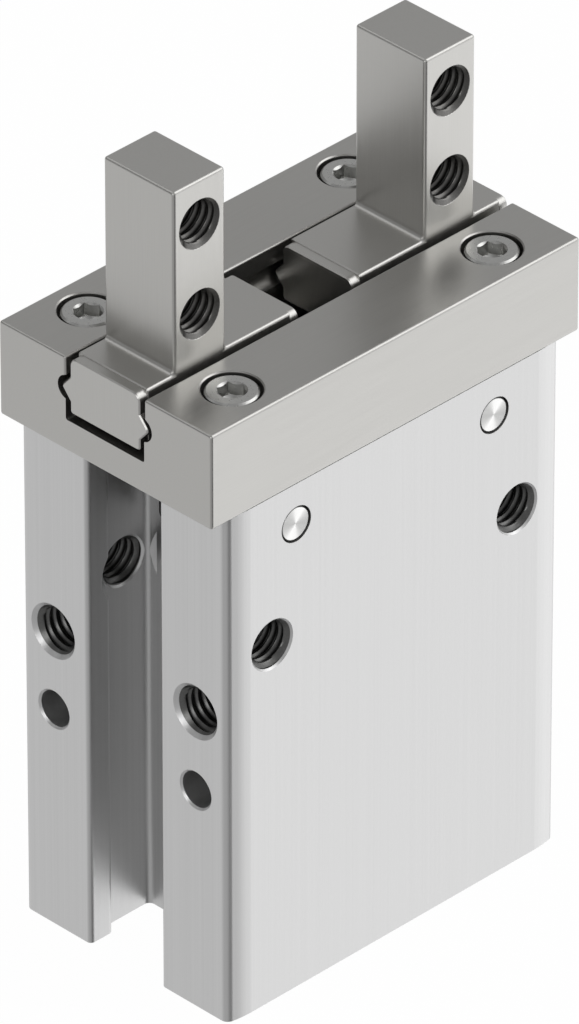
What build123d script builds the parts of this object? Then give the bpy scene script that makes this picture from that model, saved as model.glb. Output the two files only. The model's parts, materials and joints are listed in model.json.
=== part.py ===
from build123d import *
import os
from math import degrees

# Parallel gripper with two sliding jaws. A double-acting cylinder in the housing moves two bell-crank
# levers, and each lever slides one jaw along a ball-guided rail. Lengths are in millimetres.
# X is the jaws' travel, Y the depth and Z points up. The origin is the centre of the housing's base.
# The jaws are modelled open, with the piston at the top of its stroke.

# Housing: an extruded bar, cut to height
housing_length = 34.5
housing_height = 44.6
housing_corner_radius = 0.65
housing_crown_length = 2.3
housing_crown_drop = 0.3

# Sensor channel in each end of the housing
channel_mouth_width = 7.5
channel_lip_depth = 2.35
channel_inner_width = 9.3
channel_depth = 7.0
channel_lip_radius = 0.4
channel_corner_radius = 0.5

# Pocket for the levers, in the top of the housing
pocket_width = 6.8
pocket_depth = 9.6
pocket_corner_radius = 0.6

# Guide rail
rail_length = 38.0
rail_width = 22.0
rail_height = 8.1
rail_overhang = 0.1
rail_edge_radius = 0.25
rail_end_radius = 0.2
slot_width = 8.15
slot_depth = 5.4
slot_edge_radius = 0.2
slot_corner_radius = 0.2
window_length = 29.0
window_width = 5.0

# Ball guide: the balls run half in the rail and half in the carriage
ball_diameter = 2.0
ball_clearance = 0.04
ball_height_below_top = 2.6
balls_per_row = 6
ball_spacing = 2.02

# Jaws: a carriage in the rail's slot and a finger on top of it
jaw_gap = 5.5
jaw_stroke = 2.6
carriage_width = 7.2
carriage_height = 4.95
carriage_above_rail = 0.3
carriage_edge_radius = 0.25
carriage_end_chamfer = 0.08
finger_thickness = 5.2
finger_height = 15.5
finger_gap = 20.5
finger_edge_radius = 0.25
finger_root_radius = 0.4
finger_thread_diameter = 4.0
finger_lower_hole = 4.1
finger_hole_pitch = 7.7
finger_hole_chamfer = 0.06

# End caps of the carriages
cap_thickness = 0.85
cap_below_top = 0.12
cap_top_radius = 0.7
cap_bottom_radius = 0.3
cap_nose_reach = 0.9
cap_nose_height = 2.1
cap_nose_tip_radius = 0.3
cap_face_chamfer = 0.1
peg_diameter = 1.2
peg_length = 1.4
peg_offset = 1.7
peg_clearance = 0.03

# Levers
pivot_spacing = 20.54
pivot_height = 41.1
pin_diameter = 3.0
pin_recess = 0.08
pin_end_chamfer = 0.2
pin_hole_clearance = 0.01
lever_pin_clearance = 0.04
lever_width = 6.0
lever_hub_radius = 3.0
lever_arm_root_radius = 2.4
lever_root_fillet = 0.8
lever_neck_fillet = 0.25
upper_arm = 8.4
tip_radius = 1.3
tip_neck = 1.0
tip_neck_start = 6.6
tip_width = 4.4
tip_shoulder = 3.0
inner_arm = 6.37
nose_radius = 1.1
nose_neck = 0.85
nose_neck_start = 5.0
lever_play = 0.06
tip_side_clearance = 0.15
tip_roof_clearance = 0.3

# Rod head: the block that both levers hook into
head_length = 9.4
head_width = 6.0
head_web = 5.4
head_lower_flange = 1.6
head_upper_flange = 1.2
head_corner_radius = 0.5
head_edge_chamfer = 0.2

# Head screw
head_screw_diameter = 2.5
head_screw_head_diameter = 4.2
head_screw_head_height = 1.3
head_screw_length = 10.0
head_screw_socket = 1.3

# Rail screws
screw_diameter = 2.5
screw_head_diameter = 4.1
screw_head_height = 2.0
screw_length = 12.0
screw_socket = 2.0
screw_socket_depth = 1.1
screw_edge_chamfer = 0.15
screw_end_chamfer = 0.25
socket_entry_chamfer = 0.17
counterbore_diameter = 4.65
counterbore_depth = 2.1
counterbore_chamfer = 0.1
screw_clearance_hole = 2.7
screw_spacing_x = 26.8
screw_spacing_y = 14.9
screw_hole_spare = 1.0
thread_clearance = 0.02

# Dowels between rail and housing
dowel_diameter = 2.0
dowel_in_housing = 3.4
dowel_in_rail = 3.0
dowel_spacing = 14.9
dowel_hole_spare = 0.4
dowel_clearance = 0.01
dowel_end_chamfer = 0.2

# Mounting holes of the housing
long_face_thread = 4.0
long_face_spacing = 25.5
long_face_height = 31.7
long_face_chamfer = 0.15
end_face_thread = 4.0
end_face_spacing = 14.9
end_face_height = 26.3
end_face_depth = 7.5
end_face_chamfer = 0.3
locating_hole = 3.0
locating_hole_height = 19.35
locating_hole_depth = 6.0
locating_hole_chamfer = 0.16
base_thread = 4.0
base_spacing_x = 26.8
base_spacing_y = 14.9
base_thread_depth = 6.5
base_chamfer = 0.3

# Supply ports, in the end of the housing that is turned away
port_thread = 5.0
port_depth = 5.2
port_offset = 7.45
port_chamfer = 0.3
closing_port_height = 20.2
opening_port_height = 11.0
passage_diameter = 1.2
opening_passage_height = 9.2
drill_point = 0.6

# Cylinder bore and what closes it
bore_diameter = 16.0
bore_mouth_chamfer = 0.4
ring_groove_height = 1.0
ring_groove_width = 1.1
ring_groove_diameter = 17.3
ring_thickness = 1.0
ring_width = 1.4
ring_gap = 4.0
ring_ear_radius = 1.1
ring_ear_hole = 0.5
ring_groove_clearance = 0.05
ring_ear_inset = 2.1
bottom_cap_height = 4.5
bottom_cap_clearance = 0.04
bottom_cap_recess_diameter = 9.0
bottom_cap_recess_depth = 1.2
bottom_cap_chamfer = 0.3
o_ring_section = 1.24
o_ring_clearance = 0.03
o_ring_groove_width = 1.7
lower_bumper_height = 0.8
lower_bumper_diameter = 13.0
lower_bumper_hole = 9.4
upper_bumper_height = 0.9
upper_bumper_diameter = 14.0
upper_bumper_hole = 8.4
end_clearance = 0.1

# Rod guide
rod_diameter = 6.0
rod_clearance = 0.04
bush_diameter = 8.6
bush_length = 9.0
seal_housing_diameter = 11.0
rod_seal_height = 3.4
retainer_height = 1.2
retainer_clearance = 0.2
rod_seal_groove_width = 0.8
bush_chamfer = 0.3
guide_clearance = 0.02
seal_housing_spare = 0.1

# Piston
piston_clearance = 0.08
piston_edge_chamfer = 0.2
end_disc_height = 2.4
magnet_height = 2.5
magnet_diameter = 15.2
magnet_hub_diameter = 8.2
piston_body_height = 5.5
seal_groove_width = 2.4
seal_groove_diameter = 11.8
seal_groove_from_top = 1.0
seal_lip_groove_width = 0.6
piston_seal_clearance = 0.04
seal_side_clearance = 0.05
stud_diameter = 4.0
stud_end_chamfer = 0.3
nut_flats = 7.0
nut_height = 2.0
nut_corner_diameter = 7.9
nut_bevel = 0.35
nut_recess_diameter = 8.6
nut_recess_depth = 1.6

# Values that follow from the sizes above
housing_depth = rail_width - 2 * rail_overhang
rail_bottom = housing_height
rail_top = rail_bottom + rail_height
slot_floor = rail_top - slot_depth
carriage_top = rail_top + carriage_above_rail
carriage_bottom = carriage_top - carriage_height
finger_top = carriage_top + finger_height
groove_radius = ball_diameter / 2 + ball_clearance
ball_height = rail_top - ball_height_below_top
ball_offset = (slot_width + carriage_width) / 4
jaw_inner = jaw_gap / 2
jaw_outer = rail_length / 2
carriage_inner = jaw_inner + cap_thickness
carriage_outer = jaw_outer - cap_thickness
finger_inner = finger_gap / 2
finger_centre = finger_inner + finger_thickness / 2
pivot_x = pivot_spacing / 2
lever_angle = jaw_stroke / upper_arm
piston_stroke = inner_arm * lever_angle
drive_slot_x = pivot_x + jaw_stroke / 2
drive_slot_half_width = tip_radius + lever_play
drive_slot_top = pivot_height + upper_arm + tip_radius + tip_roof_clearance
head_groove_height = 2 * (nose_radius + lever_play)
head_groove_centre = pivot_height + piston_stroke / 2
head_bottom = head_groove_centre - head_groove_height / 2 - head_lower_flange
head_top = head_groove_centre + head_groove_height / 2 + head_upper_flange
channel_back = housing_length / 2 - channel_depth
pocket_floor = housing_height - pocket_depth
bore_radius = bore_diameter / 2
cap_bottom = ring_groove_height + ring_groove_width
cap_top = cap_bottom + bottom_cap_height
piston_bottom = cap_top + lower_bumper_height + end_clearance + piston_stroke
magnet_bottom = piston_bottom + end_disc_height
piston_body_bottom = magnet_bottom + magnet_height
piston_top = piston_body_bottom + piston_body_height
bore_top = piston_top + end_clearance + upper_bumper_height
rod_seal_bottom = bore_top + retainer_height
seal_housing_top = rod_seal_bottom + rod_seal_height + seal_housing_spare
cut_overrun = 1.0


def block(x_low, x_high, y_low, y_high, z_low, z_high):
    """A box between six faces."""
    size = (x_high - x_low, y_high - y_low, z_high - z_low)
    centre = ((x_high + x_low) / 2, (y_high + y_low) / 2, (z_high + z_low) / 2)
    return Pos(*centre) * Box(*size)


def rod_along_z(radius, z_low, z_high, x=0.0, y=0.0):
    """An upright round bar."""
    return Pos(x, y, (z_low + z_high) / 2) * Cylinder(radius, z_high - z_low)


def rod_along_y(radius, y_low, y_high, x, z):
    """A round bar along the depth."""
    return Pos(x, (y_low + y_high) / 2, z) * Rot(90, 0, 0) * Cylinder(radius, y_high - y_low)


def ring(outer_radius, inner_radius, z_low, z_high):
    """A flat upright ring on the cylinder's axis."""
    return rod_along_z(outer_radius, z_low, z_high) - rod_along_z(inner_radius, z_low, z_high)


def drill(mouth, outward, radius, depth, chamfer_width=0.0, pointed=True):
    """The shape that a drill and a countersink remove, from its mouth and the way the hole opens."""
    place = Plane(origin=mouth, z_dir=outward)
    tool = place * Pos(0, 0, (cut_overrun - depth) / 2) * Cylinder(radius, depth + cut_overrun)
    if pointed:
        tip = drill_point * radius
        tool += place * Pos(0, 0, -depth - tip / 2) * Cone(0, radius, tip)
    if chamfer_width > 0:
        flare = chamfer_width + cut_overrun
        tool += place * Pos(0, 0, (cut_overrun - chamfer_width) / 2) * Cone(radius, radius + flare, flare)
    return tool


def rounded(shape, keep, radius):
    """Rounds the edges that the test keeps."""
    return fillet(shape.edges().filter_by(keep), radius)


def is_near(value, target):
    return abs(value - target) < 1e-4


def bevel_rims(shape, heights, radius, width):
    """Bevels the round edges of one radius that lie at the heights."""
    rims = [
        e
        for e in shape.edges().filter_by(GeomType.CIRCLE)
        if is_near(e.radius, radius) and any(is_near(e.arc_center.Z, height) for height in heights)
    ]
    return chamfer(rims, width)


def crowned_outline():
    """A bar's outline whose long faces fall away a little towards its rounded corners."""
    half_length = housing_length / 2
    half_depth = housing_depth / 2
    flat = half_length - housing_crown_length
    edge = half_depth - housing_crown_drop
    sides = []
    for side in (-1, 1):
        sides.append(Line((-flat, side * half_depth), (flat, side * half_depth)))
        sides.append(Line((side * half_length, -edge), (side * half_length, edge)))
        for end in (-1, 1):
            start = (end * flat, side * half_depth)
            sides.append(TangentArc(start, (end * half_length, side * edge), tangent=(end, 0)))
    outline = make_face(sides)
    corners = [v for v in outline.vertices() if is_near(abs(v.X), half_length)]
    return fillet(corners, housing_corner_radius)


def housing_section():
    """The extrusion's section: a crowned bar with a T-shaped channel in each end."""
    section = crowned_outline()
    half_length = housing_length / 2
    lip_end = half_length - channel_lip_depth
    mouth = Rectangle(half_length - lip_end + cut_overrun, channel_mouth_width)
    inside = Rectangle(lip_end - channel_back, channel_inner_width)
    for side in (-1, 1):
        section -= Pos(side * (half_length + lip_end + cut_overrun) / 2, 0) * mouth
        section -= Pos(side * (lip_end + channel_back) / 2, 0) * inside
    lips = [v for v in section.vertices() if is_near(abs(v.Y), channel_mouth_width / 2)]
    section = fillet(lips, channel_lip_radius)
    backs = [
        v
        for v in section.vertices()
        if is_near(abs(v.X), channel_back) and is_near(abs(v.Y), channel_inner_width / 2)
    ]
    return fillet(backs, channel_corner_radius)


def lever_pocket():
    """The slot that the levers work in, open to both channels."""
    high = housing_height + cut_overrun
    outline = Pos(0, (pocket_floor + high) / 2) * Rectangle(pocket_width, high - pocket_floor)
    floor_corners = [v for v in outline.vertices() if is_near(v.Y, pocket_floor)]
    outline = fillet(floor_corners, pocket_corner_radius)
    reach = channel_back + channel_corner_radius
    return extrude(Plane.YZ * outline, amount=reach, both=True)


def cylinder_cuts():
    """The bore, its ring groove, the seal housing and the bush's seat, all on one axis."""
    cuts = rod_along_z(bore_radius, -cut_overrun, bore_top)
    flare = Cone(bore_radius + bore_mouth_chamfer, bore_radius, bore_mouth_chamfer)
    cuts += Pos(0, 0, bore_mouth_chamfer / 2) * flare
    groove_top = ring_groove_height + ring_groove_width
    cuts += rod_along_z(ring_groove_diameter / 2, ring_groove_height, groove_top)
    cuts += rod_along_z(seal_housing_diameter / 2, bore_top, seal_housing_top)
    cuts += rod_along_z(bush_diameter / 2 + guide_clearance, seal_housing_top, pocket_floor + cut_overrun)
    return cuts


def port_cuts():
    """Both supply ports, each with a passage into its end of the bore."""
    face = housing_length / 2
    cuts = []
    for side, height, passage in (
        (-1, opening_port_height, opening_passage_height),
        (1, closing_port_height, closing_port_height),
    ):
        y = side * port_offset
        mouth = (face, y, height)
        cuts.append(drill(mouth, (1, 0, 0), port_thread / 2, port_depth, port_chamfer, pointed=False))
        start = face - port_depth + cut_overrun
        cuts.append(drill((start, y, passage), (1, 0, 0), passage_diameter / 2, start, pointed=False))
    return cuts


def mounting_cuts():
    """Threaded and locating holes in the long faces, one end face and the base."""
    cuts = []
    wall = (housing_depth - channel_inner_width) / 2
    for side in (-1, 1):
        for face in (-1, 1):
            x = side * long_face_spacing / 2
            radius = long_face_thread / 2
            mouth = (x, face * housing_depth / 2, long_face_height)
            cuts.append(drill(mouth, (0, face, 0), radius, wall + cut_overrun, long_face_chamfer, False))
            inner = (x, face * channel_inner_width / 2, long_face_height)
            cuts.append(drill(inner, (0, -face, 0), radius, wall / 2, long_face_chamfer, False))
            base = (side * base_spacing_x / 2, face * base_spacing_y / 2, 0)
            cuts.append(drill(base, (0, 0, -1), base_thread / 2, base_thread_depth, base_chamfer))
        for height, diameter, depth, bevel in (
            (end_face_height, end_face_thread, end_face_depth, end_face_chamfer),
            (locating_hole_height, locating_hole, locating_hole_depth, locating_hole_chamfer),
        ):
            mouth = (-housing_length / 2, side * end_face_spacing / 2, height)
            cuts.append(drill(mouth, (-1, 0, 0), diameter / 2, depth, bevel))
    return cuts


def pin_and_screw_cuts():
    """Holes for the lever pins, the rail screws and the rail dowels."""
    cuts = []
    hole_radius = pin_diameter / 2 + pin_hole_clearance
    for side in (-1, 1):
        x = side * pivot_x
        for face in (-1, 1):
            mouth = (x, face * housing_depth / 2, pivot_height)
            cuts.append(drill(mouth, (0, face, 0), hole_radius, housing_depth / 2, pointed=False))
            screw = (side * screw_spacing_x / 2, face * screw_spacing_y / 2, housing_height)
            depth = screw_length - (rail_height - counterbore_depth) + screw_hole_spare
            cuts.append(drill(screw, (0, 0, 1), screw_diameter / 2 + thread_clearance, depth))
        dowel = (0, side * dowel_spacing / 2, housing_height)
        dowel_hole = dowel_diameter / 2 + dowel_clearance
        cuts.append(drill(dowel, (0, 0, 1), dowel_hole, dowel_in_housing + dowel_hole_spare))
    return cuts


def make_housing():
    housing = extrude(housing_section(), amount=housing_height)
    housing -= lever_pocket()
    housing -= cylinder_cuts()
    for cut in port_cuts() + mounting_cuts() + pin_and_screw_cuts():
        housing -= cut
    return housing


def rail_section():
    """The rail's section across its length, with the slot and the ball grooves."""
    outline = RectangleRounded(rail_width, rail_height, rail_edge_radius)
    high = rail_top + cut_overrun
    section = Pos(0, (rail_bottom + rail_top) / 2) * outline
    section -= Pos(0, (slot_floor + high) / 2) * Rectangle(slot_width, high - slot_floor)
    for height, radius in ((rail_top, slot_edge_radius), (slot_floor, slot_corner_radius)):
        corners = [
            v for v in section.vertices() if is_near(abs(v.X), slot_width / 2) and is_near(v.Y, height)
        ]
        section = fillet(corners, radius)
    for side in (-1, 1):
        section -= Pos(side * ball_offset, ball_height) * Circle(groove_radius)
    return section


def make_guide_rail():
    rail = extrude(Plane.YZ * rail_section(), amount=rail_length / 2, both=True)
    end_edges = [
        e
        for e in rail.edges()
        if is_near(abs(e.center().X), rail_length / 2)
        and (
            abs(e.center().Y) > rail_width / 2 - 2 * rail_edge_radius
            or is_near(e.center().Z, rail_bottom)
            or is_near(e.center().Z, rail_top)
        )
    ]
    rail = fillet(end_edges, rail_end_radius)
    floor_thickness = slot_floor - rail_bottom
    window = extrude(SlotOverall(window_length, window_width), amount=floor_thickness + 2 * cut_overrun)
    rail -= Pos(0, 0, rail_bottom - cut_overrun) * window
    for x_side in (-1, 1):
        for y_side in (-1, 1):
            mouth = (x_side * screw_spacing_x / 2, y_side * screw_spacing_y / 2, rail_top)
            counterbore = counterbore_diameter / 2
            rail -= drill(mouth, (0, 0, 1), counterbore, counterbore_depth, counterbore_chamfer, False)
            rail -= drill(mouth, (0, 0, 1), screw_clearance_hole / 2, rail_height + cut_overrun, 0.0, False)
    for side in (-1, 1):
        mouth = (0, side * dowel_spacing / 2, rail_bottom)
        dowel_hole = dowel_diameter / 2 + dowel_clearance
        rail -= drill(mouth, (0, 0, -1), dowel_hole, dowel_in_rail + dowel_hole_spare)
    return rail


def socket_screw(diameter, length, head_diameter, head_height, socket, socket_depth, seat):
    """A socket-head screw, upright, whose head rests at the seat's height."""
    top = seat + head_height
    head = rod_along_z(head_diameter / 2, seat, top)
    screw = bevel_rims(head, [top], head_diameter / 2, screw_edge_chamfer)
    shank = rod_along_z(diameter / 2, seat - length, seat)
    screw += bevel_rims(shank, [seat - length], diameter / 2, screw_end_chamfer)
    hexagon = RegularPolygon(socket / 2, 6, major_radius=False)
    screw -= Pos(0, 0, top - socket_depth) * extrude(hexagon, amount=socket_depth + cut_overrun)
    tip = drill_point * socket / 2
    screw -= Pos(0, 0, top - socket_depth - tip / 2) * Cone(0, socket / 2, tip)
    flare = socket_entry_chamfer + cut_overrun
    entry = Cone(socket / 2, socket / 2 + flare, flare)
    return screw - Pos(0, 0, top + (cut_overrun - socket_entry_chamfer) / 2) * entry


def make_rail_screws():
    screws = []
    seat = rail_top - counterbore_depth
    for x_side in (-1, 1):
        for y_side in (-1, 1):
            screw = socket_screw(
                screw_diameter,
                screw_length,
                screw_head_diameter,
                screw_head_height,
                screw_socket,
                screw_socket_depth,
                seat,
            )
            screws.append(Pos(x_side * screw_spacing_x / 2, y_side * screw_spacing_y / 2, 0) * screw)
    return screws


def make_rail_dowels():
    dowels = []
    for side in (-1, 1):
        low = housing_height - dowel_in_housing
        high = housing_height + dowel_in_rail
        dowel = rod_along_z(dowel_diameter / 2, low, high, 0, side * dowel_spacing / 2)
        dowels.append(bevel_rims(dowel, [low, high], dowel_diameter / 2, dowel_end_chamfer))
    return dowels


def make_lever_pins():
    pins = []
    half = housing_depth / 2 - pin_recess
    for side in (-1, 1):
        pin = rod_along_y(pin_diameter / 2, -half, half, side * pivot_x, pivot_height)
        ends = [e for e in pin.edges() if is_near(abs(e.center().Y), half)]
        pins.append(chamfer(ends, pin_end_chamfer))
    return pins


def carriage_section():
    """The carriage's section, between the two ball grooves."""
    height = (carriage_bottom + carriage_top) / 2
    section = Pos(0, height) * RectangleRounded(carriage_width, carriage_height, carriage_edge_radius)
    for side in (-1, 1):
        section -= Pos(side * ball_offset, ball_height) * Circle(groove_radius)
    return section


def make_right_jaw():
    """Carriage and finger in one piece, with the slot that the lever's tip works in."""
    length = carriage_outer - carriage_inner
    jaw = Pos(carriage_inner, 0, 0) * extrude(Plane.YZ * carriage_section(), amount=length)
    for end in (carriage_inner, carriage_outer):
        jaw = chamfer([e for e in jaw.edges() if is_near(e.center().X, end)], carriage_end_chamfer)
    half_width = carriage_width / 2
    finger_outer = finger_inner + finger_thickness
    finger = block(finger_inner, finger_outer, -half_width, half_width, ball_height, finger_top)
    finger = rounded(finger, lambda e: e.center().Z > carriage_top, finger_edge_radius)
    for side in (-1, 1):
        groove = Cylinder(groove_radius, 2 * rail_length)
        finger -= Pos(0, side * ball_offset, ball_height) * Rot(0, 90, 0) * groove
    jaw += finger
    jaw = rounded(
        jaw,
        lambda e: is_near(e.center().Z, carriage_top)
        and (is_near(e.center().X, finger_inner) or is_near(e.center().X, finger_outer))
        and e.length > carriage_width / 2,
        finger_root_radius,
    )
    for step in (0, 1):
        height = carriage_top + finger_lower_hole + step * finger_hole_pitch
        for side in (-1, 1):
            mouth = (finger_centre, side * half_width, height)
            radius = finger_thread_diameter / 2
            jaw -= drill(mouth, (0, side, 0), radius, half_width, finger_hole_chamfer, False)
    slot_half_depth = tip_width / 2 + tip_side_clearance
    jaw -= block(
        drive_slot_x - drive_slot_half_width,
        drive_slot_x + drive_slot_half_width,
        -slot_half_depth,
        slot_half_depth,
        carriage_bottom - cut_overrun,
        drive_slot_top,
    )
    for end, outward in ((carriage_inner, -1), (carriage_outer, 1)):
        for side in (-1, 1):
            mouth = (end, side * peg_offset, ball_height)
            radius = peg_diameter / 2 + peg_clearance
            jaw -= drill(mouth, (outward, 0, 0), radius, peg_length + peg_clearance, 0.0, False)
    return jaw


def cap_section():
    """An end cap's outline: rounded at the top, with a blunt nose in each ball groove."""
    half = carriage_width / 2
    top = carriage_top - cap_below_top
    height = top - carriage_bottom
    section = Pos(0, carriage_bottom + height / 2) * Rectangle(carriage_width, height)
    section = fillet([v for v in section.vertices() if is_near(v.Y, top)], cap_top_radius)
    section = fillet([v for v in section.vertices() if is_near(v.Y, carriage_bottom)], cap_bottom_radius)
    noses = Polygon(
        (-half, ball_height - cap_nose_height / 2),
        (half, ball_height - cap_nose_height / 2),
        (half + cap_nose_reach, ball_height),
        (half, ball_height + cap_nose_height / 2),
        (-half, ball_height + cap_nose_height / 2),
        (-half - cap_nose_reach, ball_height),
        align=None,
    )
    return section + fillet([v for v in noses.vertices() if is_near(v.Y, ball_height)], cap_nose_tip_radius)


def make_end_cap(face, inward):
    """A cap that closes the carriage at a face, with two pegs that point inward."""
    exposed = face - inward * cap_thickness
    cap = Pos(min(face, exposed), 0, 0) * extrude(Plane.YZ * cap_section(), amount=cap_thickness)
    cap = chamfer([e for e in cap.edges() if is_near(e.center().X, exposed)], cap_face_chamfer)
    for side in (-1, 1):
        peg = Pos(face + inward * peg_length / 2, side * peg_offset, ball_height) * Rot(0, 90, 0)
        cap += peg * Cylinder(peg_diameter / 2, peg_length)
    return cap


def make_right_balls():
    """Two rows of balls. They roll half as far as the jaw slides, so they rest nearer its inner end."""
    middle = (carriage_inner + carriage_outer) / 2 - jaw_stroke / 4
    balls = []
    for side in (-1, 1):
        for index in range(balls_per_row):
            x = middle + (index - (balls_per_row - 1) / 2) * ball_spacing
            balls.append(Pos(x, side * ball_offset, ball_height) * Sphere(ball_diameter / 2))
    return balls


def arm(length, end_radius, neck, neck_start):
    """One arm of a bell crank, along +X: it tapers to a neck and ends in a round knob."""
    taper = make_hull((Circle(lever_arm_root_radius).edges() + (Pos(neck_start, 0) * Circle(neck)).edges()))
    shaft = Pos((neck_start + length) / 2, 0) * Rectangle(length - neck_start, 2 * neck)
    return taper + shaft + Pos(length, 0) * Circle(end_radius)


def make_right_lever():
    """The bell crank of the right jaw, tilted outward by half its swing."""
    outline = Circle(lever_hub_radius)
    outline += Rot(0, 0, 90) * arm(upper_arm, tip_radius, tip_neck, tip_neck_start)
    outline += Rot(0, 0, 180) * arm(inner_arm, nose_radius, nose_neck, nose_neck_start)
    roots = [v for v in outline.vertices() if is_near(Vector(v.X, v.Y, 0).length, lever_hub_radius)]
    outline = fillet(roots, lever_root_fillet)
    knobs = ((Vector(0, upper_arm, 0), tip_radius), (Vector(-inner_arm, 0, 0), nose_radius))
    for centre, radius in knobs:
        necks = [v for v in outline.vertices() if is_near((Vector(v.X, v.Y, 0) - centre).length, radius)]
        outline = fillet(necks, lever_neck_fillet)
    lever = extrude(Plane.XZ * outline, amount=lever_width / 2, both=True)
    reach = upper_arm + 2 * tip_radius
    for side in (-1, 1):
        inner = side * tip_width / 2
        outer = side * lever_width
        lever -= block(-reach, reach, min(inner, outer), max(inner, outer), tip_shoulder, reach)
    lever -= rod_along_y(pin_diameter / 2 + lever_pin_clearance, -lever_width, lever_width, 0, 0)
    tilt = degrees(lever_angle / 2)
    return Pos(pivot_x, 0, pivot_height) * Rot(0, tilt, 0) * lever


def make_rod_head():
    """The block on top of the rod, grooved on both sides for the levers' noses."""
    outline = RectangleRounded(head_length, head_width, head_corner_radius)
    head = Pos(0, 0, head_bottom) * extrude(outline, amount=head_top - head_bottom)
    ends = [e for e in head.edges() if is_near(e.center().Z, head_bottom) or is_near(e.center().Z, head_top)]
    head = chamfer(ends, head_edge_chamfer)
    low = head_groove_centre - head_groove_height / 2
    high = head_groove_centre + head_groove_height / 2
    for side in (-1, 1):
        inner = side * head_web / 2
        outer = side * head_length
        head -= block(min(inner, outer), max(inner, outer), -head_width, head_width, low, high)
    head -= rod_along_z(head_screw_diameter / 2 + thread_clearance, 0, rail_top)
    return head


def make_head_screw():
    return socket_screw(
        head_screw_diameter,
        head_screw_length,
        head_screw_head_diameter,
        head_screw_head_height,
        head_screw_socket,
        head_screw_head_height / 2,
        head_top,
    )


def make_piston_rod():
    """The rod, with a stud below for the piston and a threaded hole above for the head screw."""
    stud_end = piston_bottom + nut_recess_depth - nut_height
    rod = rod_along_z(rod_diameter / 2, piston_top, head_bottom)
    stud = rod_along_z(stud_diameter / 2, stud_end, piston_top)
    rod += bevel_rims(stud, [stud_end], stud_diameter / 2, stud_end_chamfer)
    depth = head_screw_length - (head_top - head_bottom) + screw_hole_spare
    return rod - drill((0, 0, head_bottom), (0, 0, 1), head_screw_diameter / 2 + thread_clearance, depth)


def make_piston():
    """The piston's body, with the seal's groove and the hub that carries the magnet ring."""
    radius = bore_radius - piston_clearance
    body = rod_along_z(radius, piston_body_bottom, piston_top)
    piston = bevel_rims(body, [piston_body_bottom, piston_top], radius, piston_edge_chamfer)
    piston += rod_along_z(magnet_hub_diameter / 2, magnet_bottom, piston_body_bottom)
    groove_top = piston_top - seal_groove_from_top
    piston -= ring(bore_radius, seal_groove_diameter / 2, groove_top - seal_groove_width, groove_top)
    return piston - rod_along_z(stud_diameter / 2 + thread_clearance, magnet_bottom, piston_top)


def make_piston_seal():
    """A lip seal: a square heel below and a groove between two lips above."""
    high = piston_top - seal_groove_from_top - seal_side_clearance
    low = high - seal_groove_width + 2 * seal_side_clearance
    inner = seal_groove_diameter / 2 + seal_side_clearance
    outer = bore_radius - piston_seal_clearance
    heel = outer - piston_seal_clearance
    middle = (inner + outer) / 2
    outline = Polygon(
        (inner, low),
        (heel, low),
        (outer, high),
        (middle + seal_lip_groove_width / 2, high),
        (middle, (low + high) / 2),
        (middle - seal_lip_groove_width / 2, high),
        (inner, high),
        align=None,
    )
    return revolve(Plane.XZ * outline, Axis.Z)


def make_magnet_ring():
    inner = magnet_hub_diameter / 2 + guide_clearance
    return ring(magnet_diameter / 2, inner, magnet_bottom, piston_body_bottom)


def make_end_disc():
    radius = bore_radius - piston_clearance
    disc = rod_along_z(radius, piston_bottom, magnet_bottom)
    disc = bevel_rims(disc, [piston_bottom, magnet_bottom], radius, piston_edge_chamfer)
    disc -= rod_along_z(nut_recess_diameter / 2, piston_bottom, piston_bottom + nut_recess_depth)
    return disc - rod_along_z(stud_diameter / 2 + thread_clearance, piston_bottom, magnet_bottom)


def make_piston_nut():
    """A hexagon nut whose corners are turned down and bevelled on the open side."""
    seat = piston_bottom + nut_recess_depth
    low = seat - nut_height
    hexagon = RegularPolygon(nut_flats / 2, 6, major_radius=False)
    turned = rod_along_z(nut_corner_diameter / 2, low, seat)
    nut = bevel_rims(turned, [low], nut_corner_diameter / 2, nut_bevel)
    nut &= Pos(0, 0, low) * extrude(hexagon, amount=nut_height)
    return nut - rod_along_z(stud_diameter / 2 + thread_clearance, low, seat)


def make_rod_bush():
    low = pocket_floor - bush_length
    bush = rod_along_z(bush_diameter / 2, low, pocket_floor)
    bush = bevel_rims(bush, [low], bush_diameter / 2, bush_chamfer)
    return bush - rod_along_z(rod_diameter / 2 + rod_clearance, low, pocket_floor)


def make_rod_seal():
    """A ring with a lip towards the cylinder."""
    outer = seal_housing_diameter / 2 - guide_clearance
    inner = rod_diameter / 2 + rod_clearance
    top = rod_seal_bottom + rod_seal_height
    middle = (inner + outer) / 2
    outline = Polygon(
        (inner + rod_clearance, top),
        (outer, top),
        (outer, rod_seal_bottom),
        (middle + rod_seal_groove_width / 2, rod_seal_bottom),
        (middle, rod_seal_bottom + rod_seal_height / 2),
        (middle - rod_seal_groove_width / 2, rod_seal_bottom),
        (inner, rod_seal_bottom),
        align=None,
    )
    return revolve(Plane.XZ * outline, Axis.Z)


def make_seal_retainer():
    outer = seal_housing_diameter / 2 - guide_clearance
    return ring(outer, rod_diameter / 2 + retainer_clearance, bore_top, rod_seal_bottom)


def make_upper_bumper():
    low = bore_top - upper_bumper_height
    return ring(upper_bumper_diameter / 2, upper_bumper_hole / 2, low, bore_top)


def make_lower_bumper():
    return ring(lower_bumper_diameter / 2, lower_bumper_hole / 2, cap_top, cap_top + lower_bumper_height)


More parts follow.
